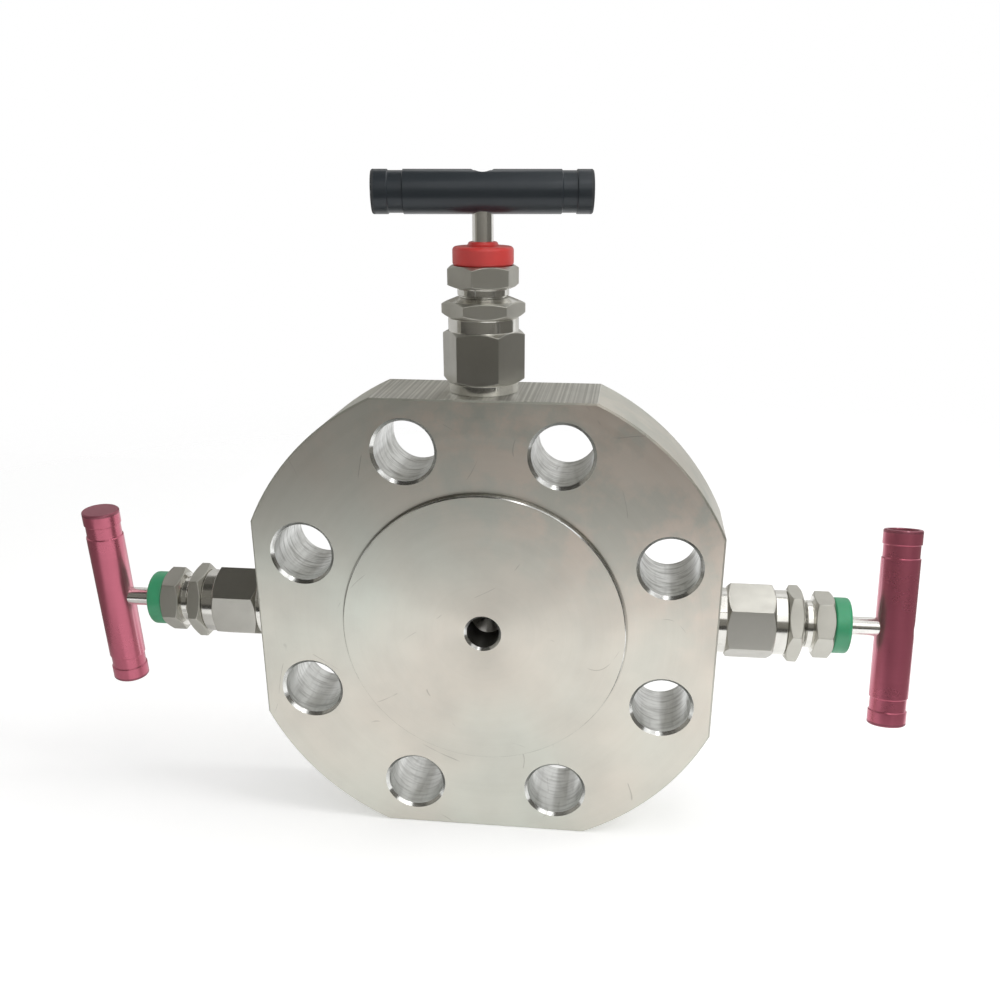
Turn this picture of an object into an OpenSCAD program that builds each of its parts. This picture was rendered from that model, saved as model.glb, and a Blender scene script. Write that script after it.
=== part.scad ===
// Monoflange with a double block and bleed: a flange blank that carries three needle valve heads.
// Origin: on the flange axis in the middle plane of the flange, where the valve axes meet it.
// +X right, +Y through the flange, away from the process side, +Z up. Millimetres.

/* [Flange] */
// Outside diameter of the flange
flange_od = 165; // [158:0.5:175]
// Thickness of the flange behind the raised face
flange_t = 31; // [30:0.5:36]
// Distance from the flange axis to each of the four milled flats
flat_dist = 75; // [73:0.5:77]
// Diameter of the raised sealing face
face_d = 92.1; // [84:0.1:100]
// Height of the raised sealing face
face_h = 2; // [1:0.1:3]
// Bolt circle diameter
bolt_circle_d = 127; // [122:0.5:132]
// Number of bolt holes
bolt_count = 8; // [4:4:8]
// Bolt hole diameter
bolt_hole_d = 19; // [14:0.5:20]
// Chamfer at both ends of a bolt hole
bolt_hole_chamfer = 1; // [0.3:0.1:1.5]
// Chamfer on the outer edges of the flange
edge_chamfer = 0.6; // [0.2:0.1:1.5]

/* [Ports and passages] */
// Diameter of the process bore in the raised face
process_bore_d = 10.5; // [8:0.5:12]
// Depth of the process bore
process_bore_depth = 13; // [11:0.5:13.5]
// Chamfer at the mouth of the process bore
process_bore_chamfer = 0.85; // [0.2:0.05:1.5]
// Tapping diameter of the outlet port in the back, 1/2 inch taper thread
outlet_port_d = 18.2; // [15:0.1:19]
// Depth of the outlet port
outlet_port_depth = 13; // [10:0.5:13.5]
// Tapping diameter of the vent port in the bottom flat, 1/4 inch taper thread
vent_port_d = 11.1; // [8.5:0.1:14.5]
// Depth of the vent port
vent_port_depth = 15; // [12:0.5:18]
// Chamfer at the mouth of each threaded port
port_chamfer = 1; // [0.3:0.1:1.5]
// Diameter of the drilling under each seat
seat_drill_d = 5; // [4:0.25:5.5]
// Diameter of the drillings from the process bore and the outlet port to the seat drillings
port_drill_d = 4.5; // [3.5:0.25:4.75]
// Diameter of the drillings that link the valve chambers
link_drill_d = 4; // [3:0.25:4.25]
// Distance from the flange axis at which the two seat drillings turn towards their ports
turn_dist = 13; // [12:0.5:15]
// Height above the flange axis at which the two links meet under the vent seat
junction_z = 26; // [24:0.5:32]

/* [Valve places] */
// Sideways offset of the vent valve axis
vent_x = -1.3; // [-2:0.1:2]
// Height of the inlet valve axis, on the right
inlet_z = 1.4; // [-2:0.1:2]
// Height of the outlet valve axis, on the left
outlet_z = 0; // [-2:0.1:2]

/* [Valve pocket] */
// Major diameter of the pocket thread
pocket_thread_d = 20; // [18:0.5:21]
// Depth of the threaded pocket
pocket_depth = 16; // [14:0.5:18]
// Diameter of the valve chamber under the bonnet
chamber_d = 14; // [12.5:0.25:15]
// Straight depth of the valve chamber
chamber_depth = 4.5; // [4.2:0.1:6]
// Depth of the conical chamber floor down to the seat edge
floor_cone_h = 2; // [1:0.1:3]

/* [Bonnet] */
// Diameter of the collar on the flat
collar_d = 21.4; // [21:0.1:24]
// Height of the collar
collar_h = 3; // [2:0.1:5]
// Width across the flats of the bonnet hexagon
bonnet_af = 22; // [21:0.5:24]
// Height of the bonnet hexagon
bonnet_hex_h = 15.4; // [12:0.1:20]
// Diameter of the round top of the bonnet
bonnet_top_d = 21.3; // [18:0.1:21.4]
// Height of the round top of the bonnet
bonnet_top_h = 4; // [3:0.1:8]
// Diameter of the cavity below the back seat
cavity_d = 11; // [10.4:0.1:12]
// Diameter of the packing chamber
packing_bore_d = 13; // [12:0.25:13]

/* [Gland and lock nut] */
// Major diameter of the gland thread
gland_thread_d = 14; // [13.5:0.25:15]
// Width across the flats of the lock nut
lock_nut_af = 22; // [20:0.5:24]
// Height of the lock nut
lock_nut_h = 5.7; // [4.5:0.1:7]
// Diameter of the flat on the outer side of the lock nut, inside its conical chamfer
lock_nut_face_d = 15.8; // [15.2:0.1:20]
// Slope of the shallow cones on the outer side of the lock nut and the inner side of the
// gland hexagon, in degrees
shallow_slope = 22; // [15:1:30]
// Length of gland thread that shows between the lock nut and the gland hexagon
gland_neck_h = 2.3; // [1:0.1:6]
// Width across the flats of the gland hexagon
gland_af = 19; // [17:0.5:22]
// Diameter of the flat on the inner side of the gland hexagon, inside its conical chamfer
gland_face_d = 15.8; // [15.2:0.1:19]
// Height of the gland hexagon
gland_hex_h = 6.7; // [5:0.1:8]
// Diameter of the spigot that holds the dust cap
spigot_d = 14; // [12:0.1:15]
// Height of the spigot that holds the dust cap
spigot_h = 3.6; // [2.5:0.1:4]
// Height of one packing ring
packing_ring_h = 3; // [2:0.1:3.4]
// Number of packing rings
packing_rings = 3; // [2:1:3]
// Height of the washer under the packing
packing_washer_h = 1.5; // [1:0.1:2]
// Height of the gland ring above the packing
gland_ring_h = 2.5; // [2:0.1:4]

/* [Stem] */
// Diameter of the stem in the packing, and of its thread
stem_d = 8; // [7:0.1:8.5]
// Diameter of the stem above its thread
stem_top_d = 6.2; // [5.5:0.1:6.5]
// Diameter of the back seat shoulder on the stem
shoulder_d = 10; // [9.5:0.1:10.2]
// Pitch of the stem thread
stem_pitch = 1; // [0.75:0.05:1.25]
// Turns from closed to fully open
open_turns = 4.5; // [3:0.25:5]
// Diameter of the plug tip
tip_d = 6.4; // [6:0.1:7]
// Diameter of the end of the plug tip
tip_end_d = 2.4; // [1.5:0.1:3]
// Diameter of the neck that holds the tip in the stem
tip_neck_d = 3.2; // [2.5:0.1:3.6]
// Diameter of the head that holds the tip in the stem
tip_head_d = 4.8; // [4.2:0.1:5.4]

/* [Dust caps] */
// Outside diameter of a dust cap
cap_d = 18.2; // [17:0.1:20]
// Height of a dust cap
cap_h = 5.3; // [5:0.1:7]
// Rounding of the outer edges of a dust cap
cap_round = 1.1; // [0.4:0.1:1.4]
// Diameter of the boss on the vent dust cap
cap_boss_d = 9.4; // [8.5:0.1:12]
// Height of the boss on the vent dust cap
cap_boss_h = 1.3; // [1.1:0.1:2]

/* [T bar handles] */
// Length of a handle bar
bar_len = 64; // [50:1:80]
// Diameter of a handle bar
bar_d = 12.2; // [11:0.1:14]
// Distance from the flat to the axis of a handle bar with the valve closed
bar_height = 57.3; // [54:0.1:62]
// Distance from the end of the bar to its grip groove
groove_start = 4.8; // [3:0.1:8]
// Width of a grip groove
groove_w = 4.2; // [2:0.1:6]
// Depth of a grip groove
groove_depth = 0.35; // [0.1:0.05:0.8]
// Slope width of the edges of a grip groove
groove_edge = 0.2; // [0.1:0.05:0.4]
// Diameter of the shallow recess in each end of the bar
end_recess_d = 8.6; // [6:0.1:9.5]
// Depth of the shallow recess in each end of the bar
end_recess_depth = 0.8; // [0.3:0.1:2]
// Diameter of the thread that joins the stem and the bar
bar_thread_d = 6; // [5:0.1:6]
// Depth to which the plain top of the stem goes into the underside of the bar
bar_counterbore = 1.6; // [1:0.1:3]
// Depth of the screw below the crown of the bar
screw_sink = 0.9; // [0.5:0.1:1.5]
// Width across the flats of the screw socket
socket_af = 3; // [2.5:0.5:3.5]

/* [Turned positions in degrees] */
// Bonnet hexagons: vent, inlet, outlet
bonnet_clock = [58, 54, 56]; // [0:1:60]
// Lock nuts: vent, inlet, outlet
lock_nut_clock = [10, 29, 20]; // [0:1:60]
// Gland hexagons: vent, inlet, outlet
gland_clock = [20, 32, 14]; // [0:1:60]
// Handle bars: vent, inlet, outlet
bar_clock = [8, -16, -4]; // [-90:1:90]

/* [Hidden] */
$fn = 96;

// Radial clearances
thread_gap = 0.05;      // between a threaded shank and its hole
running_gap = 0.05;     // between the stem and each bore it turns in
packing_gap = 0.05;     // between the packing parts and their chamber
tip_gap = 0.1;          // round the head and the neck of the tip in the stem
wiper_gap = 0.15;       // between the stem and the dust cap
cap_gap = 0.05;         // between the dust cap and its spigot
seat_gap = 0.3;         // along the axis, between the closed tip and its seat
backseat_gap = 0.3;     // along the axis, between the open stem and its back seat
eps = 0.01;             // makes cuts run past a face

// Planes across the flange axis. The valve axes lie in the middle plane, y = 0.
flange_front = -flange_t / 2;
flange_back = flange_t / 2;
face_front = flange_front - face_h;
travel = stem_pitch * open_turns;

// Heights along a valve axis, measured outwards from the milled flat
chamber_floor = -pocket_depth - chamber_depth;
seat_h = chamber_floor - floor_cone_h;
hex_bottom = collar_h;
hex_top = hex_bottom + bonnet_hex_h;
bonnet_top = hex_top + bonnet_top_h;
nut_top = bonnet_top + lock_nut_h;
gland_hex_bottom = nut_top + gland_neck_h;
gland_hex_top = gland_hex_bottom + gland_hex_h;
spigot_top = gland_hex_top + spigot_h;
cap_top = gland_hex_top + cap_h;

// The tip: a cone of 60 degrees that closes on the edge of the seat drilling
tip_cone_slope = 1 / tan(30);
tip_cone_top = seat_h + seat_gap + (tip_d - seat_drill_d) / 2 * tip_cone_slope;
tip_cone_bottom = tip_cone_top - (tip_d - tip_end_d) / 2 * tip_cone_slope;
tip_rim_h = 0.7;
tip_rim_top = tip_cone_top + tip_rim_h;
stem_bottom = tip_rim_top + 2 * tip_gap;
tip_lip_h = 1.4;
tip_neck_top = stem_bottom + tip_lip_h + tip_gap;
tip_head_h = 1.4;
tip_head_top = tip_neck_top + tip_head_h;

// The stem and its back seat, which meet at full travel
shoulder_h = 1.2;
shoulder_bottom = stem_bottom + 5.9;
shoulder_top = shoulder_bottom + shoulder_h;
shoulder_cone_h = (shoulder_d - stem_d) / 2;
backseat_start = shoulder_top + travel + backseat_gap - (cavity_d - shoulder_d) / 2;
guide_bore_d = stem_d + 2 * running_gap;
backseat_end = backseat_start + (cavity_d - guide_bore_d) / 2;

// The packing stack in the bonnet, from its floor to the nose of the gland
packing_floor = backseat_end + 3.5;
washer_top = packing_floor + packing_washer_h;
packing_top = washer_top + packing_rings * packing_ring_h;
gland_ring_top = packing_top + gland_ring_h;
gland_nose_h = 2;
gland_thread_start = gland_ring_top + gland_nose_h;
bonnet_thread_start = gland_thread_start - 0.5;
stem_thread_top = gland_hex_bottom;
bar_crown = bar_height + bar_d / 2;

// Each of these puts a piece on its valve axis, turned about that axis by an angle
module at_vent(turn = 0) {
    translate([vent_x, 0, flat_dist]) rotate([0, 0, turn]) children();
}

module at_inlet(turn = 0) {
    translate([flat_dist, 0, inlet_z]) rotate([0, 90, 0]) rotate([0, 0, turn]) children();
}

module at_outlet(turn = 0) {
    translate([-flat_dist, 0, outlet_z]) rotate([0, -90, 0]) rotate([0, 0, turn]) children();
}

// Turns a shape that stands on the Z axis so that it points through the flange
module through_flange() {
    rotate([-90, 0, 0]) children();
}

// A solid of revolution from z0 to z1 with a chamfer at each end
module chamfered_rod(z0, z1, d, c0, c1) {
    rotate_extrude()
        polygon([
            [0, z0], [d / 2 - c0, z0], [d / 2, z0 + c0],
            [d / 2, z1 - c1], [d / 2 - c1, z1], [0, z1]
        ]);
}

// A hexagon prism from z0 to z1, its corners cut by cones that leave a round flat of diameter
// face0 on the lower end and face1 on the upper end
module hexagon(z0, z1, af, face0, face1, slope0 = 30, slope1 = 30) {
    corner = af / sqrt(3);
    reach = corner + 1;
    intersection() {
        translate([0, 0, z0]) cylinder(r = corner, h = z1 - z0, $fn = 6);
        rotate_extrude()
            polygon([
                [0, z0], [face0 / 2, z0],
                [reach, z0 + (reach - face0 / 2) * tan(slope0)],
                [reach, z1 - (reach - face1 / 2) * tan(slope1)],
                [face1 / 2, z1], [0, z1]
            ]);
    }
}

// A straight drilling from one point to another and past it by a little
module drilling(from, to, d, past = 0) {
    way = to - from;
    len = norm(way);
    translate(from)
        rotate([0, acos(way[2] / len), atan2(way[1], way[0])])
            cylinder(d = d, h = len + past);
}

// Outline of a plate seen from its edge, with chamfered corners
module plate_outline() {
    c = edge_chamfer;
    polygon([
        [-flat_dist + c, flange_front], [flat_dist - c, flange_front],
        [flat_dist, flange_front + c], [flat_dist, flange_back - c], [flat_dist - c, flange_back],
        [-flat_dist + c, flange_back], [-flat_dist, flange_back - c], [-flat_dist, flange_front + c]
    ]);
}

// The turned disc, cut by the four flats, with the raised face in front
module flange_blank() {
    intersection() {
        through_flange() chamfered_rod(flange_front, flange_back, flange_od, edge_chamfer, edge_chamfer);
        linear_extrude(height = flange_od, center = true) plate_outline();
        rotate([0, 90, 0]) linear_extrude(height = flange_od, center = true) plate_outline();
    }
    through_flange() chamfered_rod(face_front, flange_front + eps, face_d, edge_chamfer / 2, 0);
}

// One bolt hole, with a chamfer at both faces
module bolt_hole() {
    c = bolt_hole_chamfer;
    translate([0, 0, flange_front - eps]) cylinder(d = bolt_hole_d, h = flange_t + 2 * eps);
    translate([0, 0, flange_front - eps])
        cylinder(d1 = bolt_hole_d + 2 * (c + eps), d2 = bolt_hole_d, h = c + eps);
    translate([0, 0, flange_back - c])
        cylinder(d1 = bolt_hole_d, d2 = bolt_hole_d + 2 * (c + eps), h = c + eps);
}

module bolt_holes() {
    for (i = [0 : bolt_count - 1])
        rotate([0, (i + 0.5) * 360 / bolt_count, 0])
            translate([bolt_circle_d / 2, 0, 0])
                through_flange() bolt_hole();
}

// A blind hole that opens at z = 0 and goes down, with a chamfered mouth and a pointed floor
module blind_hole(d, depth, c, point_angle = 31) {
    point_h = d / 2 * tan(point_angle);
    rotate_extrude()
        polygon([
            [0, eps], [d / 2 + c + eps, eps], [d / 2, -c],
            [d / 2, -depth], [0, -depth - point_h]
        ]);
}

// The pocket that takes a valve head: thread, chamber, conical floor and seat drilling
module valve_pocket(drill_end) {
    rotate_extrude()
        polygon([
            [0, eps], [pocket_thread_d / 2, eps], [pocket_thread_d / 2, -pocket_depth],
            [chamber_d / 2, -pocket_depth], [chamber_d / 2, chamber_floor],
            [seat_drill_d / 2, seat_h], [seat_drill_d / 2, drill_end], [0, drill_end]
        ]);
}

// Drillings that join the process bore, the three seats and the two threaded ports. Each one
// can be drilled from the mouth of a pocket or a port, so no plug is needed.
module passages() {
    link_h = flat_dist - pocket_depth - chamber_depth / 2;
    link_rise = chamber_d / 2 - link_drill_d / 2 + 0.5;
    inlet_turn = [turn_dist, 0, inlet_z];
    outlet_turn = [-turn_dist, 0, outlet_z];
    vent_elbow = [-17.5, 9.5, 2];
    drilling([0, face_front + 3, 0], inlet_turn, port_drill_d);
    drilling([0, flange_back - 3, 0], outlet_turn, port_drill_d);
    drilling([link_h, 0, inlet_z + link_rise], [vent_x + 1, 0, junction_z], link_drill_d);
    drilling([-link_h, 0, outlet_z + link_rise], [vent_x - 1, 0, junction_z], link_drill_d);
    drilling([vent_x - 5, 2, link_h], vent_elbow, link_drill_d, 2);
    drilling([-1.5, 1, 2 - flat_dist + vent_port_depth], vent_elbow, port_drill_d, 1);
}

module flange_body() {
    color([0.72, 0.71, 0.68])
        difference() {
            flange_blank();
            bolt_holes();
            translate([0, face_front, 0])
                rotate([90, 0, 0])
                    blind_hole(process_bore_d, process_bore_depth, process_bore_chamfer);
            translate([0, flange_back, 0])
                through_flange() blind_hole(outlet_port_d, outlet_port_depth, port_chamfer, 2);
            translate([0, 0, -flat_dist])
                rotate([180, 0, 0]) blind_hole(vent_port_d, vent_port_depth, port_chamfer);
            at_vent() valve_pocket(junction_z - flat_dist - 3);
            at_inlet() valve_pocket(turn_dist - 1 - flat_dist);
            at_outlet() valve_pocket(turn_dist - 1 - flat_dist);
            passages();
        }
}

// Bonnet: threaded shank, collar, hexagon and round top, bored for the stem and the packing
module bonnet() {
    shank_d = pocket_thread_d - 2 * thread_gap;
    difference() {
        union() {
            chamfered_rod(-pocket_depth, eps, shank_d, 0.8, 0);
            chamfered_rod(0, hex_bottom + eps, collar_d, 0.3, 0);
            hexagon(hex_bottom, hex_top, bonnet_af, bonnet_af, bonnet_af);
            chamfered_rod(hex_top - eps, bonnet_top, bonnet_top_d, 0, 0.5);
        }
        rotate_extrude()
            polygon([
                [0, -pocket_depth - eps], [cavity_d / 2, -pocket_depth - eps],
                [cavity_d / 2, backseat_start], [guide_bore_d / 2, backseat_end],
                [guide_bore_d / 2, packing_floor], [packing_bore_d / 2, packing_floor],
                [packing_bore_d / 2, bonnet_thread_start], [gland_thread_d / 2, bonnet_thread_start],
                [gland_thread_d / 2, bonnet_top - 0.5], [gland_thread_d / 2 + 0.5, bonnet_top + eps],
                [0, bonnet_top + eps]
            ]);
    }
}

// A flat ring in the packing chamber
module packing_part(z0, h) {
    translate([0, 0, z0])
        difference() {
            cylinder(d = packing_bore_d - 2 * packing_gap, h = h);
            translate([0, 0, -eps]) cylinder(d = guide_bore_d, h = h + 2 * eps);
        }
}

module packing_washer() {
    packing_part(packing_floor, packing_washer_h);
}

// Packing rings, one on top of the other
module packing() {
    for (i = [0 : packing_rings - 1])
        packing_part(washer_top + i * packing_ring_h, packing_ring_h - 0.02);
}

module gland_ring() {
    packing_part(packing_top, gland_ring_h);
}

// Gland: a threaded bush that presses on the packing, carries the stem thread and has a
// hexagon and a spigot for the dust cap
module gland() {
    difference() {
        union() {
            chamfered_rod(gland_ring_top, gland_thread_start + eps, packing_bore_d - 4 * packing_gap, 0.2, 0);
            chamfered_rod(gland_thread_start, gland_hex_bottom + eps, gland_thread_d - 2 * thread_gap, 0.5, 0);
            hexagon(gland_hex_bottom, gland_hex_top, gland_af, gland_face_d, gland_af, shallow_slope);
            chamfered_rod(gland_hex_top - eps, spigot_top, spigot_d, 0, 0.4);
        }
        translate([0, 0, gland_ring_top - eps])
            cylinder(d = guide_bore_d, h = spigot_top - gland_ring_top + 2 * eps);
    }
}

// Thin nut that locks the gland against the bonnet
module lock_nut() {
    difference() {
        hexagon(bonnet_top, nut_top, lock_nut_af, lock_nut_af, lock_nut_face_d, 30, shallow_slope);
        translate([0, 0, bonnet_top - eps]) cylinder(d = gland_thread_d, h = lock_nut_h + 2 * eps);
    }
}

// Rounded plastic cap with a stepped hole: wide over the spigot, narrow round the stem
module dust_cap(boss_h) {
    rim = cap_d / 2 - cap_round;
    difference() {
        union() {
            rotate_extrude()
                union() {
                    translate([0, gland_hex_top]) square([rim, cap_h]);
                    translate([0, gland_hex_top + cap_round]) square([cap_d / 2, cap_h - 2 * cap_round]);
                    translate([rim, gland_hex_top + cap_round]) circle(r = cap_round);
                    translate([rim, cap_top - cap_round]) circle(r = cap_round);
                }
            if (boss_h > 0) chamfered_rod(cap_top - eps, cap_top + boss_h, cap_boss_d, 0, 1.1);
        }
        translate([0, 0, gland_hex_top - eps])
            cylinder(d = spigot_d + 2 * cap_gap, h = spigot_h + 0.2 + eps);
        translate([0, 0, gland_hex_top])
            cylinder(d = stem_top_d + 2 * wiper_gap, h = cap_h + boss_h + eps);
    }
}

// Plug tip: it slides with the stem but does not turn with it
module stem_tip() {
    rotate_extrude()
        polygon([
            [0, tip_cone_bottom], [tip_end_d / 2, tip_cone_bottom], [tip_d / 2, tip_cone_top],
            [tip_d / 2, tip_rim_top], [tip_neck_d / 2, tip_rim_top], [tip_neck_d / 2, tip_neck_top],
            [tip_head_d / 2, tip_neck_top], [tip_head_d / 2, tip_head_top], [0, tip_head_top]
        ]);
}

// Stem: socket for the tip, back seat shoulder, threaded length and plain top, with a short
// thread that goes into the bar
module stem() {
    bar_shoulder = bar_height - bar_d / 2 + bar_counterbore;
    difference() {
        rotate_extrude()
            polygon([
                [0, stem_bottom], [stem_d / 2 - 0.4, stem_bottom], [stem_d / 2, stem_bottom + 0.4],
                [stem_d / 2, shoulder_bottom], [shoulder_d / 2, shoulder_bottom],
                [shoulder_d / 2, shoulder_top], [stem_d / 2, shoulder_top + shoulder_cone_h],
                [stem_d / 2, stem_thread_top - 0.5], [stem_top_d / 2, stem_thread_top],
                [stem_top_d / 2, bar_shoulder], [bar_thread_d / 2 - thread_gap, bar_shoulder],
                [bar_thread_d / 2 - thread_gap, bar_height], [0, bar_height]
            ]);
        rotate_extrude()
            polygon([
                [0, stem_bottom - eps], [tip_neck_d / 2 + tip_gap, stem_bottom - eps],
                [tip_neck_d / 2 + tip_gap, stem_bottom + tip_lip_h],
                [tip_head_d / 2 + tip_gap, stem_bottom + tip_lip_h],
                [tip_head_d / 2 + tip_gap, tip_head_top + tip_gap], [0, tip_head_top + 2 * tip_gap]
            ]);
    }
}

// One half of a bar from its middle to its end: grip groove, chamfered end, shallow recess
module half_bar() {
    r = bar_d / 2;
    floor_r = r - groove_depth;
    end_z = bar_len / 2;
    groove_z = end_z - groove_start;
    rotate_extrude()
        polygon([
            [0, -eps], [r, -eps],
            [r, groove_z - groove_w], [floor_r, groove_z - groove_w + groove_edge],
            [floor_r, groove_z - groove_edge], [r, groove_z],
            [r, end_z - 0.4], [r - 0.4, end_z], [end_recess_d / 2, end_z],
            [end_recess_d / 2 - 0.3, end_z - end_recess_depth], [0, end_z - end_recess_depth]
        ]);
}

// Handle bar with a threaded cross hole for the stem and the screw
module handle() {
    translate([0, 0, bar_height])
        difference() {
            union() {
                rotate([0, 90, 0]) half_bar();
                rotate([0, -90, 0]) half_bar();
            }
            translate([0, 0, -bar_d / 2 - eps]) cylinder(d = bar_thread_d, h = bar_d + 2 * eps);
            translate([0, 0, -bar_d / 2 - eps])
                cylinder(d = stem_top_d + 2 * thread_gap, h = bar_counterbore + eps);
        }
}

// Screw that locks the bar on the stem, with a hexagon socket
module handle_screw() {
    top = bar_crown - screw_sink;
    difference() {
        chamfered_rod(bar_height, top, bar_thread_d - 2 * thread_gap, 0.5, 0.4);
        translate([0, 0, top - 2.2]) cylinder(d = socket_af / cos(30), h = 2.2 + eps, $fn = 6);
    }
}

module vent_bonnet() { color([0.55, 0.53, 0.5]) at_vent(bonnet_clock[0]) bonnet(); }
module vent_packing_washer() { color([0.6, 0.6, 0.6]) at_vent() packing_washer(); }
module vent_packing() { color([0.2, 0.2, 0.2]) at_vent() packing(); }
module vent_gland_ring() { color([0.6, 0.6, 0.6]) at_vent() gland_ring(); }
module vent_gland() { color([0.6, 0.58, 0.55]) at_vent(gland_clock[0]) gland(); }
module vent_lock_nut() { color([0.6, 0.58, 0.55]) at_vent(lock_nut_clock[0]) lock_nut(); }
module vent_dust_cap() { color([0.8, 0.16, 0.14]) at_vent() dust_cap(cap_boss_h); }
module vent_stem_tip() { color([0.75, 0.75, 0.75]) at_vent() stem_tip(); }
module vent_stem() { color([0.7, 0.7, 0.68]) at_vent() stem(); }
module vent_handle() { color([0.1, 0.11, 0.13]) at_vent(bar_clock[0]) handle(); }
module vent_handle_screw() { color([0.25, 0.25, 0.25]) at_vent() handle_screw(); }

module inlet_bonnet() { color([0.55, 0.53, 0.5]) at_inlet(bonnet_clock[1]) bonnet(); }
module inlet_packing_washer() { color([0.6, 0.6, 0.6]) at_inlet() packing_washer(); }
module inlet_packing() { color([0.2, 0.2, 0.2]) at_inlet() packing(); }
module inlet_gland_ring() { color([0.6, 0.6, 0.6]) at_inlet() gland_ring(); }
module inlet_gland() { color([0.6, 0.58, 0.55]) at_inlet(gland_clock[1]) gland(); }
module inlet_lock_nut() { color([0.6, 0.58, 0.55]) at_inlet(lock_nut_clock[1]) lock_nut(); }
module inlet_dust_cap() { color([0.1, 0.6, 0.35]) at_inlet() dust_cap(0); }
module inlet_stem_tip() { color([0.75, 0.75, 0.75]) at_inlet() stem_tip(); }
module inlet_stem() { color([0.7, 0.7, 0.68]) at_inlet() stem(); }
module inlet_handle() { color([0.6, 0.15, 0.3]) at_inlet(bar_clock[1]) handle(); }
module inlet_handle_screw() { color([0.25, 0.25, 0.25]) at_inlet() handle_screw(); }

module outlet_bonnet() { color([0.55, 0.53, 0.5]) at_outlet(bonnet_clock[2]) bonnet(); }
module outlet_packing_washer() { color([0.6, 0.6, 0.6]) at_outlet() packing_washer(); }
module outlet_packing() { color([0.2, 0.2, 0.2]) at_outlet() packing(); }
module outlet_gland_ring() { color([0.6, 0.6, 0.6]) at_outlet() gland_ring(); }
module outlet_gland() { color([0.6, 0.58, 0.55]) at_outlet(gland_clock[2]) gland(); }
module outlet_lock_nut() { color([0.6, 0.58, 0.55]) at_outlet(lock_nut_clock[2]) lock_nut(); }
module outlet_dust_cap() { color([0.1, 0.6, 0.35]) at_outlet() dust_cap(0); }
module outlet_stem_tip() { color([0.75, 0.75, 0.75]) at_outlet() stem_tip(); }
module outlet_stem() { color([0.7, 0.7, 0.68]) at_outlet() stem(); }
module outlet_handle() { color([0.6, 0.15, 0.3]) at_outlet(bar_clock[2]) handle(); }
module outlet_handle_screw() { color([0.25, 0.25, 0.25]) at_outlet() handle_screw(); }

flange_body();

vent_bonnet();
vent_packing_washer();
vent_packing();
vent_gland_ring();
vent_gland();
vent_lock_nut();
vent_dust_cap();
vent_stem_tip();
vent_stem();
vent_handle();
vent_handle_screw();

inlet_bonnet();
inlet_packing_washer();
inlet_packing();
inlet_gland_ring();
inlet_gland();
inlet_lock_nut();
inlet_dust_cap();
inlet_stem_tip();
inlet_stem();
inlet_handle();
inlet_handle_screw();

outlet_bonnet();
outlet_packing_washer();
outlet_packing();
outlet_gland_ring();
outlet_gland();
outlet_lock_nut();
outlet_dust_cap();
outlet_stem_tip();
outlet_stem();
outlet_handle();
outlet_handle_screw();
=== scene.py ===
# %% [markdown]
# # A monoflange valve, dressed in Blender
# The real object is a thick stainless steel flange with three small needle valve heads screwed
# into its edge. The solids come from the CAD model. This script dresses them: it builds finer
# meshes for the pieces that the eye rests on, and gives every piece a finish made of nodes.

import math

import bmesh
import bpy
from mathutils import Matrix, Vector


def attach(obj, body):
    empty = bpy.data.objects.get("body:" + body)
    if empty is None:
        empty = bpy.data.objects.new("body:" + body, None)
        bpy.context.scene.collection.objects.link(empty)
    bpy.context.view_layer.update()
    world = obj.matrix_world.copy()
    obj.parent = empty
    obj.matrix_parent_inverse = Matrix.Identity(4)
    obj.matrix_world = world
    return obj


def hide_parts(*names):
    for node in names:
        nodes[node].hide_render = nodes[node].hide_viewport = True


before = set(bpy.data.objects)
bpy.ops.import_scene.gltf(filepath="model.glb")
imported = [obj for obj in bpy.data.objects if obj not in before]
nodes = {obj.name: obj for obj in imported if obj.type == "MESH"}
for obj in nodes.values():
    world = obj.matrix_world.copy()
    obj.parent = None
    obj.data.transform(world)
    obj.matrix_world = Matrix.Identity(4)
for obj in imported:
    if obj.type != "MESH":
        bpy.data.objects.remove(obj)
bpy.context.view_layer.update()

# %% [markdown]
# ## Where the valves are
# All three heads are the same, so each piece is made once, standing on the Z axis in
# millimetres, with height 0 on the milled flat. A matrix then puts it on its flat. The heads are
# screwed in by hand torque, so every hexagon stops at its own angle, and so does every bar when
# its valve is closed: these are the turns below, in degrees.

# %% Places of the three valves
MM = 0.001
FLAT = 75.0
VALVES = {
    "vent": {"at": (-1.3, 0, FLAT), "tilt": (0, "Y")},
    "inlet": {"at": (FLAT, 0, 1.4), "tilt": (90, "Y")},
    "outlet": {"at": (-FLAT, 0, 0), "tilt": (-90, "Y")},
}
TURNS = {
    "bonnet": {"vent": 58, "inlet": 54, "outlet": 56},
    "lock_nut": {"vent": 10, "inlet": 29, "outlet": 20},
    "gland": {"vent": 20, "inlet": 32, "outlet": 14},
    "handle": {"vent": 8, "inlet": -13, "outlet": -4},
}


def valve_place(valve, turn=0.0):
    """Matrix from a head's own millimetres to the row frame in metres."""
    at = Vector(VALVES[valve]["at"]) * MM
    degrees, axis = VALVES[valve]["tilt"]
    tilt = Matrix.Rotation(math.radians(degrees), 4, axis)
    spin = Matrix.Rotation(math.radians(turn), 4, "Z")
    return Matrix.Translation(at) @ tilt @ spin


print("valves:", ", ".join(VALVES))

# %% [markdown]
# ## Building a graph of nodes
# A finish is a graph of shader nodes. Writing one node per line with its values and its links
# keeps the graph readable, so this helper makes a node, sets its properties and fills its
# inputs. An input that is given a socket is linked, and any other is set.

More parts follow.
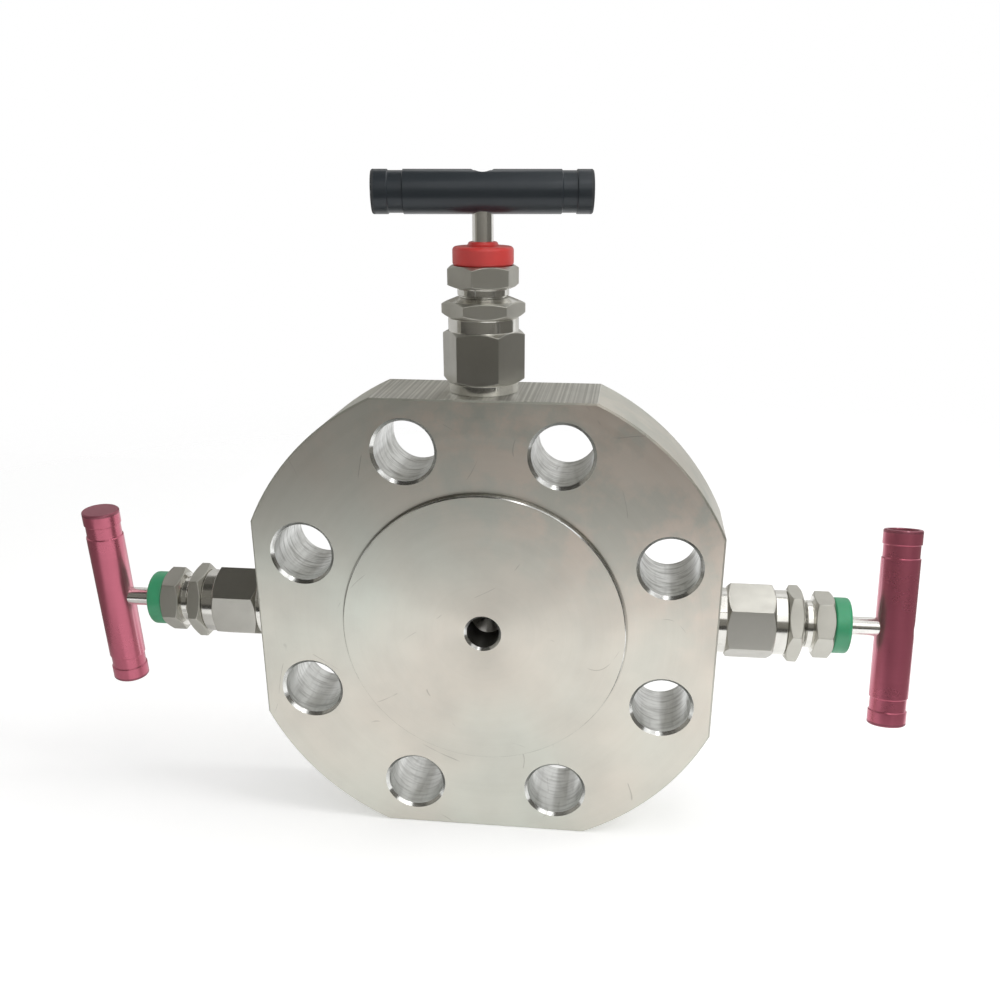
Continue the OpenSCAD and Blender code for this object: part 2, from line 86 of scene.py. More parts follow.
# %% A helper for nodes
def add(tree, kind, inputs=None, **settings):
    """Adds a shader node to a tree and fills its inputs."""
    node = tree.nodes.new("ShaderNode" + kind)
    for name, value in settings.items():
        setattr(node, name, value)
    for name, value in (inputs or {}).items():
        if isinstance(value, bpy.types.NodeSocket):
            tree.links.new(value, node.inputs[name])
        else:
            node.inputs[name].default_value = value
    return node


print("helper:", add.__name__)

# %% [markdown]
# Most of a finish is arithmetic on one number per point: compare it, scale it, mix two values
# or two colours by it. Three short helpers keep such a step on one line.

# %% Helpers for numbers and colours
def maths(tree, operation, first, second=0.0, third=0.0):
    """Result of one Math node."""
    inputs = {0: first, 1: second, 2: third}
    return add(tree, "Math", inputs, operation=operation).outputs[0]


def blend(tree, amount, low, high):
    """A number between low and high, by an amount from 0 to 1."""
    return add(tree, "Mix", {0: amount, 2: low, 3: high}).outputs[0]


def tint(tree, amount, low, high):
    """A colour between low and high, by an amount from 0 to 1."""
    node = add(tree, "Mix", {0: amount}, data_type="RGBA")
    for slot, value in ((6, low), (7, high)):
        if isinstance(value, bpy.types.NodeSocket):
            tree.links.new(value, node.inputs[slot])
        else:
            node.inputs[slot].default_value = (*value, 1.0)
    return node.outputs[2]


print("helpers:", maths.__name__, blend.__name__, tint.__name__)

# %% [markdown]
# A node group is a small graph with sockets of its own, built once and placed in many
# materials. Its sockets are made through the interface of its tree. What differs from material
# to material goes in through them, and only numbers come out.

# %% Helpers for node groups
def group_of(name, takes, gives):
    """An empty node group with named number sockets, its input node and its output node."""
    tree = bpy.data.node_groups.new(name, "ShaderNodeTree")
    for word, kind in takes.items():
        tree.interface.new_socket(word, in_out="INPUT", socket_type="NodeSocket" + kind)
    for word, kind in gives.items():
        tree.interface.new_socket(word, in_out="OUTPUT", socket_type="NodeSocket" + kind)
    start = tree.nodes.new("NodeGroupInput")
    end = tree.nodes.new("NodeGroupOutput")
    return tree, start.outputs, end


def use(tree, group, **inputs):
    """Places a node group in a material and returns its outputs."""
    node = tree.nodes.new("ShaderNodeGroup")
    node.node_tree = group
    for word, value in inputs.items():
        if isinstance(value, bpy.types.NodeSocket):
            tree.links.new(value, node.inputs[word])
        else:
            node.inputs[word].default_value = value
    return node.outputs


print("helpers:", group_of.__name__, use.__name__)

# %% [markdown]
# ## Tool marks
# A turning tool or a milling cutter leaves fine parallel lines, a fraction of a millimetre
# apart and never quite even. A noise with one dimension does this: it only needs to know how
# far along the work a point is. Two noises, a fine and a wide one, keep the lines from looking
# like a grating. The group is used for turned faces, milled flats and drilled walls.

# %% Group: tool marks
tool_marks, took, out = group_of(
    "tool marks",
    {"Along": "Float", "Pitch": "Float", "Place": "Vector"},
    {"Height": "Float", "Shade": "Float"},
)
ratio = maths(tool_marks, "DIVIDE", took["Along"], took["Pitch"])
fine = add(tool_marks, "TexNoise", {"W": ratio, "Scale": 1.0, "Detail": 1.0}, noise_dimensions="1D")
slow = maths(tool_marks, "MULTIPLY", ratio, 0.13)
wide = add(tool_marks, "TexNoise", {"W": slow, "Scale": 1.0, "Detail": 3.0}, noise_dimensions="1D")
patch = add(tool_marks, "TexNoise", {"Vector": took["Place"], "Scale": 0.09, "Detail": 2.0})
depth = blend(tool_marks, patch.outputs[0], 0.55, 1.0)
height = maths(tool_marks, "MULTIPLY", fine.outputs[0], depth)
tool_marks.links.new(height, out.inputs["Height"])
shade = blend(tool_marks, 0.5, height, wide.outputs[0])
tool_marks.links.new(shade, out.inputs["Shade"])
print("group:", tool_marks.name)

# %% [markdown]
# ## Marks of handling
# Bare steel that is picked up and set down gets dull patches from fingers and coolant, and a
# few thin scratches. A wide noise makes the patches. A scratch is a line on which another noise
# passes through its middle value; a third noise lets only a few short lengths of it through.

# %% Group: handling marks
handling, took, out = group_of(
    "handling marks", {"Place": "Vector", "Size": "Float"}, {"Smudge": "Float", "Scratch": "Float"}
)
scaled = add(handling, "VectorMath", {0: took["Place"]}, operation="SCALE")
handling.links.new(maths(handling, "DIVIDE", 1.0, took["Size"]), scaled.inputs["Scale"])
place = scaled.outputs[0]
cloud = add(handling, "TexNoise", {"Vector": place, "Scale": 0.8, "Detail": 5.0, "Roughness": 0.6})
smudge = add(handling, "MapRange", {0: cloud.outputs[0], 1: 0.38, 2: 0.66}).outputs[0]
handling.links.new(smudge, out.inputs["Smudge"])
path = add(handling, "TexNoise", {"Vector": place, "Scale": 0.8, "Detail": 0.0}).outputs[0]
away = maths(handling, "ABSOLUTE", maths(handling, "SUBTRACT", path, 0.5))
line = add(handling, "MapRange", {0: away, 1: 0.0, 2: 0.003, 3: 1.0, 4: 0.0}).outputs[0]
gate = add(handling, "TexNoise", {"Vector": place, "Scale": 2.4, "Detail": 1.0, "Distortion": 0.4})
some = add(handling, "MapRange", {0: gate.outputs[0], 1: 0.575, 2: 0.64}).outputs[0]
handling.links.new(maths(handling, "MULTIPLY", line, some), out.inputs["Scratch"])
print("group:", handling.name)


# %% [markdown]
# ## Start of a material
# Every finish begins with the same Principled BSDF. Values that are the same all over the piece
# are set on its sockets, and only what varies is linked. Texture coordinates come from the
# object and are turned into millimetres, so the grain keeps its size on every piece.

# %% Helpers for a material
def finish_named(name, color, roughness, metallic, **plain):
    """A material with a Principled BSDF, its plain values set on the sockets themselves."""
    material = bpy.data.materials.new(name)
    material.use_nodes = True
    material.diffuse_color = (*color, 1.0)
    tree = material.node_tree
    surface = tree.nodes["Principled BSDF"]
    surface.inputs["Base Color"].default_value = (*color, 1.0)
    surface.inputs["Roughness"].default_value = roughness
    surface.inputs["Metallic"].default_value = metallic
    for word, value in plain.items():
        surface.inputs[word.replace("_", " ")].default_value = value
    return material, tree, surface


def object_millimetres(tree):
    """Texture coordinates of the object in millimetres: the vector, then x, y and z."""
    source = add(tree, "TexCoord").outputs["Object"]
    inputs = {0: source, "Scale": 1000.0}
    vector = add(tree, "VectorMath", inputs, operation="SCALE").outputs[0]
    return vector, *add(tree, "SeparateXYZ", {0: vector}).outputs


print("helpers:", finish_named.__name__, object_millimetres.__name__)


# %% Helpers for distance, relief and direction
def round_distance(tree, first, second):
    """Distance from an axis, from the two coordinates across it."""
    squares = maths(tree, "MULTIPLY_ADD", first, first, maths(tree, "MULTIPLY", second, second))
    return maths(tree, "SQRT", squares)


def relief(tree, surface, height, strength, distance_mm):
    """Feeds a height to the surface as bump."""
    inputs = {"Height": height, "Strength": strength, "Distance": distance_mm * MM}
    tree.links.new(add(tree, "Bump", inputs).outputs[0], surface.inputs["Normal"])


def stretch_along(tree, surface, way):
    """Stretches reflections along a direction given in the object's own axes."""
    settings = {"vector_type": "VECTOR", "convert_from": "OBJECT", "convert_to": "WORLD"}
    turned = add(tree, "VectorTransform", {0: way}, **settings)
    tree.links.new(turned.outputs[0], surface.inputs["Tangent"])


def pick_way(tree, amount, first, second):
    """One of two directions, by a mask."""
    return add(tree, "Mix", {0: amount, 4: first, 5: second}, data_type="VECTOR").outputs[1]


print("helpers:", round_distance.__name__, relief.__name__, stretch_along.__name__)

# %% [markdown]
# ## Steel of the flange
# The flange is one piece with four finishes. Its faces are turned, so the lines run in rings.
# Its flats are milled, so they are straight and coarser. The bolt holes are drilled, with
# rings and smears along the wall. The chamfers are small and bright. One material can tell
# them apart by where a point lies and which way the surface looks, so the mesh needs no
# painting and no seams. Each mask below is 1 on its own finish and 0 elsewhere.

# %% Masks of the flange's finishes
HOLES_WITHIN = 74.2
flange_steel, tree, surface = finish_named(
    "flange steel", (0.6, 0.59, 0.55), 0.36, 1.0, Anisotropic=0.6
)
place, x, y, z = object_millimetres(tree)
normal = add(tree, "TexCoord").outputs["Normal"]
facing = maths(tree, "ABSOLUTE", add(tree, "SeparateXYZ", {0: normal}).outputs[1])
on_face = maths(tree, "GREATER_THAN", facing, 0.95)
on_bevel = maths(tree, "COMPARE", facing, 0.7, 0.2)
side = maths(tree, "GREATER_THAN", maths(tree, "ABSOLUTE", x), FLAT - 0.1)
level = maths(tree, "GREATER_THAN", maths(tree, "ABSOLUTE", z), FLAT - 0.1)
on_flat = maths(tree, "MAXIMUM", side, level)
from_axis = round_distance(tree, x, z)
inner = maths(tree, "LESS_THAN", from_axis, HOLES_WITHIN)
drilled = maths(tree, "MULTIPLY", inner, maths(tree, "SUBTRACT", 1.0, on_face))
polished = maths(tree, "MULTIPLY", inner, on_bevel)
print("masks: faces, bevels, flats, drilled walls, polished chamfers")

# %% [markdown]
# The tool marks follow the tool. On a turned face they are counted by the distance from the
# axis, on a flat by the distance across it, and on the rim and in the holes by the way along
# the axis. A chain of blends picks the right count and the right pitch in millimetres, so that
# one group serves them all.

# %% Tool marks and wear on the flange
RIM_PITCH, FLAT_PITCH, FACE_PITCH = 1.1, 0.9, 0.3
across = blend(tree, side, x, z)
along = blend(tree, on_flat, y, across)
along = blend(tree, on_face, along, from_axis)
pitch = blend(tree, on_flat, RIM_PITCH, FLAT_PITCH)
pitch = blend(tree, on_face, pitch, FACE_PITCH)
marks = use(tree, tool_marks, Along=along, Pitch=pitch, Place=place)
wear = use(tree, handling, Place=place, Size=22.0)
print("marks:", tool_marks.name, "and", handling.name)

# %% [markdown]
# Stainless steel keeps faint stains where coolant dried on it: warm and cool patches on the
# faces, weaker on the rim. Towards the upper right the patches grow stronger and darker
# blotches are laid on. A wide noise gives the slow change and a finer one the blotches. The
# milled flats get pale lines between grey grooves.

# %% Colour of the faces and the flats
stain = add(tree, "TexNoise", {"Vector": place, "Scale": 0.016, "Detail": 2.0}).outputs[0]
stain = add(tree, "MapRange", {0: stain, 1: 0.36, 2: 0.6, 3: 0.0, 4: 0.6}).outputs[0]
# Towards the upper right the patches grow stronger and darker blotches are laid on.
upper_right = maths(tree, "MULTIPLY_ADD", x, 0.5, z)
high = add(tree, "MapRange", {0: upper_right, 1: 20.0, 2: 75.0}).outputs[0]
cloudy = {"Vector": place, "Scale": 0.06, "Detail": 5.0, "Roughness": 0.6}
blotch = add(tree, "TexNoise", cloudy).outputs[0]
blotch = add(tree, "MapRange", {0: blotch, 1: 0.42, 2: 0.56}).outputs[0]
stain = maths(tree, "MULTIPLY_ADD", high, blotch, stain)
stain = maths(tree, "MULTIPLY", stain, blend(tree, on_face, 0.3, 1.0))
color = tint(tree, stain, (0.615, 0.635, 0.57), (0.73, 0.635, 0.55))
dim = maths(tree, "MULTIPLY", maths(tree, "SUBTRACT", 1.0, blotch), high)
color = tint(tree, maths(tree, "MULTIPLY", dim, 0.6), color, (0.5, 0.505, 0.45))
color = tint(tree, maths(tree, "MULTIPLY", wear["Smudge"], 0.4), color, (0.52, 0.51, 0.46))
lines = maths(tree, "MULTIPLY", marks["Shade"], 0.25)
color = tint(tree, lines, color, (0.82, 0.81, 0.77))
grooves = add(tree, "MapRange", {0: marks["Height"], 1: 0.28, 2: 0.6}).outputs[0]
milled = tint(tree, grooves, (0.6, 0.595, 0.56), (0.93, 0.925, 0.88))
color = tint(tree, maths(tree, "MULTIPLY", on_flat, 0.8), color, milled)
print("colours: stained faces, milled flats")

# %% [markdown]
# A twist drill leaves rings on the wall of a hole and drags its chips along it. Both are noises
# squeezed in one direction: the swirl is short along the axis, the drag is long. Lower down the
# smears are weaker, a painted lightening of the lower hole walls. The process bore is painted
# dark inside, a painted shade for its deep hole. A dark line of painted shade lies in the corner
# at the foot of the raised face, and the scratches come last of all.

# %% Colour of the holes with painted light and shade, painted shade in the corner, scratches
BORE_WALL, FACE_CORNER, FRONT = 5.3, 46.35, -15.0
swirl = add(tree, "VectorMath", {0: place, 1: (0.13, 0.7, 0.13)}, operation="MULTIPLY").outputs[0]
smear = add(tree, "TexNoise", {"Vector": swirl, "Scale": 1.0, "Detail": 4.0}).outputs[0]
smear = add(tree, "MapRange", {0: smear, 1: 0.46, 2: 0.68}).outputs[0]
drag = add(tree, "VectorMath", {0: place, 1: (0.6, 0.07, 0.6)}, operation="MULTIPLY").outputs[0]
streak = add(tree, "TexNoise", {"Vector": drag, "Scale": 1.0, "Detail": 2.0}).outputs[0]
streak = add(tree, "MapRange", {0: streak, 1: 0.5, 2: 0.68}).outputs[0]
# Painted light: the smears weaken towards the bottom, so the lower hole walls come out lighter.
lower_walls_painted_lighter = add(tree, "MapRange", {0: z, 1: -50.0, 2: 10.0, 3: 0.6, 4: 1.0}).outputs[0]
wall = tint(tree, maths(tree, "MULTIPLY", smear, lower_walls_painted_lighter), (0.86, 0.87, 0.86), (0.4, 0.4, 0.39))
wall = tint(tree, maths(tree, "MULTIPLY", streak, 0.3), wall, (0.45, 0.45, 0.44))
# Painted shade: the deep process bore is painted dark inside.
deep = maths(tree, "MULTIPLY", drilled, maths(tree, "LESS_THAN", from_axis, BORE_WALL))
wall = tint(tree, deep, wall, (0.2, 0.195, 0.19))
color = tint(tree, maths(tree, "MULTIPLY", drilled, 0.85), color, wall)
# Painted shade: a dark line in the corner at the foot of the raised face, strong at the top and
# fading towards the bottom.
foot = maths(tree, "COMPARE", from_axis, FACE_CORNER, 0.3)
foot = maths(tree, "MULTIPLY", foot, maths(tree, "LESS_THAN", y, FRONT))
corner_shade_by_height = add(tree, "MapRange", {0: z, 1: -25.0, 2: 35.0, 3: 0.1, 4: 1.0}).outputs[0]
foot = maths(tree, "MULTIPLY", foot, corner_shade_by_height)
color = tint(tree, maths(tree, "MULTIPLY", foot, 0.6), color, (0.13, 0.12, 0.1))
color = tint(tree, maths(tree, "MULTIPLY", wear["Scratch"], 0.5), color, (0.22, 0.2, 0.18))
tree.links.new(color, surface.inputs["Base Color"])
print("colours: drilled walls, dark corner, scratches")

# %% [markdown]
# How sharply the steel mirrors depends on the tool as well. Chamfers cut by a countersink are
# nearly polished, and edges broken by hand are dull. What the steel mirrors is smeared across
# the lines of the tool: outward on faces and flats, along the axis on the rim and in the holes.

# %% Roughness and relief of the flange
rough = blend(tree, on_flat, 0.3, 0.4)
rough = blend(tree, on_face, rough, 0.28)
rough = blend(tree, drilled, rough, 0.28)
rough = blend(tree, polished, rough, 0.13)
broken = maths(tree, "SUBTRACT", on_bevel, polished)
rough = blend(tree, broken, rough, 0.6)
rough = maths(tree, "MULTIPLY_ADD", wear["Smudge"], 0.06, rough)
tree.links.new(maths(tree, "MULTIPLY_ADD", marks["Shade"], 0.08, rough), surface.inputs["Roughness"])
lift = blend(tree, on_flat, 0.5, 1.6)
lift = blend(tree, drilled, lift, 1.0)
relief(tree, surface, maths(tree, "MULTIPLY", marks["Height"], lift), 0.5, 0.03)
outward = add(tree, "CombineXYZ", {0: x, 1: 0.0, 2: z}).outputs[0]
shallow = maths(tree, "MAXIMUM", on_face, on_flat)
stretch_along(tree, surface, pick_way(tree, shallow, (0, 1, 0), outward))
print("finish:", flange_steel.name)


# %% [markdown]
# ## Steel of the valve heads
# The heads are turned and milled from drawn bar. The round necks come off the lathe nearly
# polished and mirror the room in sharp bands, while the flats of the hexagons stay as the
# cutter left them, a little duller. The two are told apart by their distance from the axis.

# %% Finish: steel of the heads
NO_FLATS = 20.0
BRIGHT = (0.76, 0.75, 0.71)


def head_steel(
    name, color, turned_rough, flat_from=NO_FLATS, milled=(0.6, 0.59, 0.54), flat_rough=0.4
):
    """Steel for a piece that stands on its own Z axis, with milled flats from a radius on."""
    material, tree, surface = finish_named(name, color, turned_rough, 1.0, Anisotropic=0.5)
    place, x, y, z = object_millimetres(tree)
    normal = add(tree, "TexCoord").outputs["Normal"]
    lean, slide, rise = add(tree, "SeparateXYZ", {0: normal}).outputs
    from_axis = round_distance(tree, x, y)
    on_flat = maths(tree, "GREATER_THAN", from_axis, flat_from)
    on_end = maths(tree, "GREATER_THAN", maths(tree, "ABSOLUTE", rise), 0.9)
    outward = add(tree, "CombineXYZ", {0: x, 1: y, 2: 0.0}).outputs[0]
    back = maths(tree, "MULTIPLY", slide, -1.0)
    around = add(tree, "CombineXYZ", {0: back, 1: lean, 2: 0.0}).outputs[0]
    way = pick_way(tree, on_flat, (0, 0, 1), around)
    stretch_along(tree, surface, pick_way(tree, on_end, way, outward))
    along = maths(tree, "ADD", from_axis, z)
    marks = use(tree, tool_marks, Along=along, Pitch=0.22, Place=place)
    wear = use(tree, handling, Place=place, Size=6.0)
    dull = tuple(0.8 * part for part in milled)
    shade = tint(tree, on_flat, color, milled)
    shade = tint(tree, maths(tree, "MULTIPLY", wear["Smudge"], 0.25), shade, dull)
    tree.links.new(shade, surface.inputs["Base Color"])
    rough = blend(tree, on_flat, turned_rough, flat_rough)
    rough = maths(tree, "MULTIPLY_ADD", wear["Smudge"], 0.06, rough)
    rough = maths(tree, "MULTIPLY_ADD", marks["Shade"], 0.05, rough)
    tree.links.new(rough, surface.inputs["Roughness"])
    relief(tree, surface, marks["Height"], 0.12, 0.01)
    return material


bonnet_steel = head_steel(
    "bonnet steel", BRIGHT, 0.13, flat_from=10.85, milled=(0.51, 0.5, 0.46), flat_rough=0.27
)
nut_steel = head_steel("lock nut steel", BRIGHT, 0.16, flat_from=10.6)
gland_steel = head_steel("gland steel", BRIGHT, 0.13, flat_from=9.2)
stem_steel = head_steel("stem steel", (0.86, 0.85, 0.82), 0.13)
screw_steel = head_steel("screw steel", (0.16, 0.16, 0.16), 0.35)
inner_steel = head_steel("inner steel", (0.6, 0.6, 0.58), 0.25)
print("steels of the heads: 6")


# %% [markdown]
# ## Anodised bars
# The bars are aluminium with a dyed oxide layer. It is a metal under a thin coloured glaze, so
# the colour is in the reflection itself, darker where the light grazes. Very fine turning lines
# stay visible under the dye. Along the sharp edges the colour is paler: partly a thin, rubbed
# layer, partly a painted highlight. The ends are greyer and duller than the rest.

# %% Finish: anodised bar
BAR_HALF = 32.0


def anodised(name, color, edge, roughness, metallic):
    """Dyed aluminium for a bar that lies along its own X axis."""
    material, tree, surface = finish_named(
        name, color, roughness, metallic, Coat_Weight=0.12, Coat_Roughness=0.12
    )
    place, x, *_ = object_millimetres(tree)
    marks = use(tree, tool_marks, Along=x, Pitch=0.16, Place=place)
    wear = use(tree, handling, Place=place, Size=9.0)
    deep = tuple(0.88 * part for part in color)
    shade = tint(tree, marks["Shade"], deep, color)
    shade = tint(tree, maths(tree, "MULTIPLY", wear["Smudge"], 0.25), shade, deep)
    on_end = maths(tree, "GREATER_THAN", maths(tree, "ABSOLUTE", x), BAR_HALF - 1.0)
    grey = tuple(0.45 * part + 0.03 for part in color)
    shade = tint(tree, maths(tree, "MULTIPLY", on_end, 0.8), shade, grey)
    # Paler sharp edges: partly a thin, rubbed layer, partly a painted highlight along them.
    sharp = add(tree, "NewGeometry").outputs["Pointiness"]
    edge_wear_and_highlight = add(tree, "MapRange", {0: sharp, 1: 0.53, 2: 0.6}).outputs[0]
    shade = tint(tree, maths(tree, "MULTIPLY", edge_wear_and_highlight, 0.6), shade, edge)
    tree.links.new(shade, surface.inputs["Base Color"])
    rough = maths(tree, "MULTIPLY_ADD", marks["Shade"], 0.03, roughness)
    rough = maths(tree, "MULTIPLY_ADD", wear["Smudge"], 0.06, rough)
    rough = maths(tree, "MULTIPLY_ADD", on_end, 0.2, rough)
    tree.links.new(rough, surface.inputs["Roughness"])
    relief(tree, surface, marks["Height"], 0.06, 0.01)
    return material


magenta_bar = anodised(
    "magenta bar", (0.61, 0.16, 0.23), edge=(0.9, 0.45, 0.53), roughness=0.25, metallic=0.78
)
black_bar = anodised(
    "black bar", (0.023, 0.03, 0.037), edge=(0.2, 0.21, 0.22), roughness=0.34, metallic=0.2
)
print("bars:", magenta_bar.name, "and", black_bar.name)


# %% [markdown]
# ## Plastic caps and graphite packing
# The dust caps are moulded in soft polyethylene: a waxy surface with a faint orange peel, which
# lets a little light in. The packing inside is pressed graphite, black with a dull sheen.

# %% Finish: moulded and pressed pieces
def moulded(name, color, roughness, grain_mm, **plain):
    """A moulded or pressed piece with an orange peel grain."""
    material, tree, surface = finish_named(name, color, roughness, 0.0, **plain)
    place, *_ = object_millimetres(tree)
    peel = add(tree, "TexNoise", {"Vector": place, "Scale": 1 / grain_mm, "Detail": 3.0}).outputs[0]
    wear = use(tree, handling, Place=place, Size=5.0)
    deep = tuple(0.8 * part for part in color)
    shade = tint(tree, maths(tree, "MULTIPLY", wear["Smudge"], 0.4), color, deep)
    tree.links.new(shade, surface.inputs["Base Color"])
    rough = maths(tree, "MULTIPLY_ADD", wear["Smudge"], 0.1, roughness)
    tree.links.new(rough, surface.inputs["Roughness"])
    relief(tree, surface, peel, 0.3, 0.05)
    return material


WAXY = {"Subsurface_Weight": 0.15, "Subsurface_Scale": 0.002, "Specular_IOR_Level": 1.0}
red_cap = moulded("red cap", (0.62, 0.035, 0.03), 0.42, 0.8, **WAXY)
green_cap = moulded("green cap", (0.03, 0.35, 0.155), 0.36, 0.8, **WAXY)
graphite = moulded("graphite packing", (0.03, 0.03, 0.032), 0.5, 0.3)
print("moulded pieces: 3 finishes")

# %% [markdown]
# ## Solids that stay as they are
# The flange body keeps its CAD mesh, whose bores and chamfers are already exact. The washer,
# the packing, the gland ring and the tip sit where nobody looks, so they keep theirs too. All
# of them only need their material.

# %% Dress the solids that stay
INNER = {
    "packing_washer": inner_steel,
    "packing": graphite,
    "gland_ring": inner_steel,
    "stem_tip": inner_steel,
}


def dress(node_name, material):
    """Puts one material on a CAD solid."""
    slots = nodes[node_name].data.materials
    slots.clear()
    slots.append(material)


dress("flange_body", flange_steel)
for valve in VALVES:
    for piece, material in INNER.items():
        dress(f"{valve}_{piece}", material)
print("solids dressed:", 1 + len(VALVES) * len(INNER))


# %% [markdown]
# ## Turned and hexagonal pieces
# A nut is a hexagonal prism whose corners a cone has cut, which draws the curved edge that
# every nut has. To get it in the mesh, one outline is drawn for every direction round the axis.
# It knows how far away the side of the hexagon is in that direction, so where it meets the cone
# follows by itself. Round pieces use the same function and simply ignore the hexagon. No edge
# is ever quite sharp, so a first helper breaks the corners of an outline.

# %% Break the corners of an outline
def eased(loop, size, open_ended=False):
    """The loop with each corner replaced by three points, so that it catches the light."""
    points = []
    count = len(loop)
    for i, corner in enumerate(loop):
        if open_ended and i in (0, count - 1):
            points.append(corner)
            continue
        corner = Vector(corner)
        before = Vector(loop[i - 1]) - corner
        after = Vector(loop[(i + 1) % count]) - corner
        reach = min(size, 0.45 * before.length, 0.45 * after.length)
        first = corner + before.normalized() * reach
        last = corner + after.normalized() * reach
        points += [first, corner * 0.4 + (first + last) * 0.3, last]
    return [tuple(point) for point in points]


print("a square with broken corners has", len(eased([(0, 0), (1, 0), (1, 1), (0, 1)], 0.1)), "points")


# %% Directions round the axis
def hexagon_ways(flats, corner_round):
    """Directions round the axis, each with the distance to the side of a rounded hexagon."""
    middle = flats / 2
    centre = (middle - corner_round) / math.cos(math.radians(30))
    edge = math.atan2(corner_round * 0.5, centre + corner_round * math.cos(math.radians(30)))
    ways = []
    for corner in range(6):
        base = math.radians(60 * corner)
        for step in range(-2, 3):
            off = edge * step / 2
            inside = corner_round**2 - (centre * math.sin(off)) ** 2
            ways.append((base + off, centre * math.cos(off) + math.sqrt(inside)))
        for step in range(1, 10):
            angle = edge + (math.radians(60) - 2 * edge) * step / 10
            ways.append((base + angle, middle / math.cos(angle - math.radians(30))))
    return ways


def round_ways(count=96):
    """Directions for a round piece."""
    return [(2 * math.pi * i / count, 0.0) for i in range(count)]


ROUND = round_ways()
HEX_22 = hexagon_ways(22.0, 0.35)
HEX_19 = hexagon_ways(19.0, 0.35)
print("directions:", len(ROUND), len(HEX_22), len(HEX_19))

# %% [markdown]
# The outlines of neighbouring directions are joined by faces, like the staves of a barrel. A
# finished piece is scaled from millimetres to metres, gets its material, and is told which
# body it rides on and which solid it takes the place of.

# %% Sweep an outline and settle the piece
def mesh_from(name, ways, outline, ring=True):
    """Sweeps an outline round Z. A ring's outline is a closed loop, others start on the axis."""
    shape = bmesh.new()
    columns = []
    for angle, side in ways:
        turn = (math.cos(angle), math.sin(angle))
        columns.append([shape.verts.new((r * turn[0], r * turn[1], h)) for r, h in outline(side)])
    for i, here in enumerate(columns):
        ahead = columns[(i + 1) % len(columns)]
        last = len(here) if ring else len(here) - 1
        for j in range(last):
            k = (j + 1) % len(here)
            shape.faces.new((here[j], ahead[j], ahead[k], here[k]))
    bmesh.ops.remove_doubles(shape, verts=shape.verts, dist=1e-5)
    bmesh.ops.recalc_face_normals(shape, faces=shape.faces)
    mesh = bpy.data.meshes.new(name)
    shape.to_mesh(mesh)
    shape.free()
    return mesh


def settle(name, mesh, place, body, material, slot, instead=()):
    """Makes the piece from a mesh in millimetres and lets it ride on its body."""
    mesh.transform(Matrix.Scale(MM, 4))
    mesh.shade_smooth()
    mesh.materials.append(material)
    piece = bpy.data.objects.new(name, mesh)
    bpy.context.scene.collection.objects.link(piece)
    piece.matrix_world = place
    piece.modifiers.new("even shading", "WEIGHTED_NORMAL").keep_sharp = True
    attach(piece, body)
    if instead:
        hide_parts(*instead)
    return piece


print("helpers:", mesh_from.__name__, settle.__name__)

# %% [markdown]
# ## Bonnet
# The bonnet is screwed into the flange by its shank. A round collar sits on the flat, then
# comes the hexagon for the spanner and a round top that the lock nut bears on. Inside are the
# cavity, the back seat and the packing chamber, so it stays a real hollow piece. Pieces that
# touch keep a hundredth of a millimetre or two between them, so that no faces share a place.

# %% Make the bonnets
SHANK_END, SHANK_RADIUS, COLLAR_RADIUS, TOP_RADIUS = -16.0, 9.95, 10.7, 10.65
HEX_LOW, HEX_HIGH, BONNET_TOP = 3.0, 18.4, 22.4
STEM_BORE, CAVITY, PACKING_BORE, GLAND_BORE = 4.05, 5.5, 6.5, 7.0
BACK_SEAT, PACKING_FLOOR, PACKING_TOP = -7.24, -3.7, 10.8
CONE_22, APART = 10.8, 0.02
SLOPE_30 = math.tan(math.radians(30))


def bonnet_outline(side):
    """One loop of the bonnet, from the mouth of the shank up the outside and down the bore."""
    low = HEX_LOW + (side - CONE_22) * SLOPE_30
    high = HEX_HIGH - (side - CONE_22) * SLOPE_30
    outside = [
        (CAVITY, SHANK_END), (SHANK_RADIUS - 0.8, SHANK_END), (SHANK_RADIUS, SHANK_END + 0.8),
        (SHANK_RADIUS, APART), (COLLAR_RADIUS, APART), (COLLAR_RADIUS, HEX_LOW), (side, low),
        (side, high), (TOP_RADIUS + 0.1, HEX_HIGH), (TOP_RADIUS, HEX_HIGH + 0.05),
        (TOP_RADIUS, BONNET_TOP - 0.4), (TOP_RADIUS - 0.4, BONNET_TOP),
    ]
    inside = [
        (GLAND_BORE + 0.5, BONNET_TOP), (GLAND_BORE, BONNET_TOP - 0.5), (GLAND_BORE, PACKING_TOP),
        (PACKING_BORE, PACKING_TOP), (PACKING_BORE, PACKING_FLOOR), (STEM_BORE, PACKING_FLOOR),
        (STEM_BORE, BACK_SEAT), (CAVITY, BACK_SEAT - (CAVITY - STEM_BORE)),
    ]
    return eased(outside + inside, 0.18)


for valve in VALVES:
    mesh = mesh_from(f"{valve}_bonnet_piece", HEX_22, bonnet_outline)
    place = valve_place(valve, TURNS["bonnet"][valve])
    settle(mesh.name, mesh, place, "body", bonnet_steel, "bonnet_steel", [f"{valve}_bonnet"])
print("bonnet faces:", len(mesh.polygons))

# %% [markdown]
# ## Lock nut and gland
# The lock nut is a thin hexagon with a long shallow cone on its outer side. The gland is a
# smaller hexagon on a polished neck, and carries the spigot that the dust cap snaps on. The
# neck is drawn a little thicker than in the CAD model, where it is as thick as the thread.

# %% Make the lock nuts and the glands
NUT_TOP, GLAND_LOW, GLAND_HIGH, SPIGOT_TOP = 28.1, 30.4, 37.1, 40.7
NOSE, CONE_19, NUT_BORE = 7.9, 9.4, 7.0
GLAND_END, NECK_LOW = 9.26, 28.6
GLAND_TIP, GLAND_THREAD, RELIEF_RADIUS, NECK_RADIUS, SPIGOT_RADIUS = 6.4, 6.95, 6.8, 7.75, 7.0
SLOPE_22 = math.tan(math.radians(22))


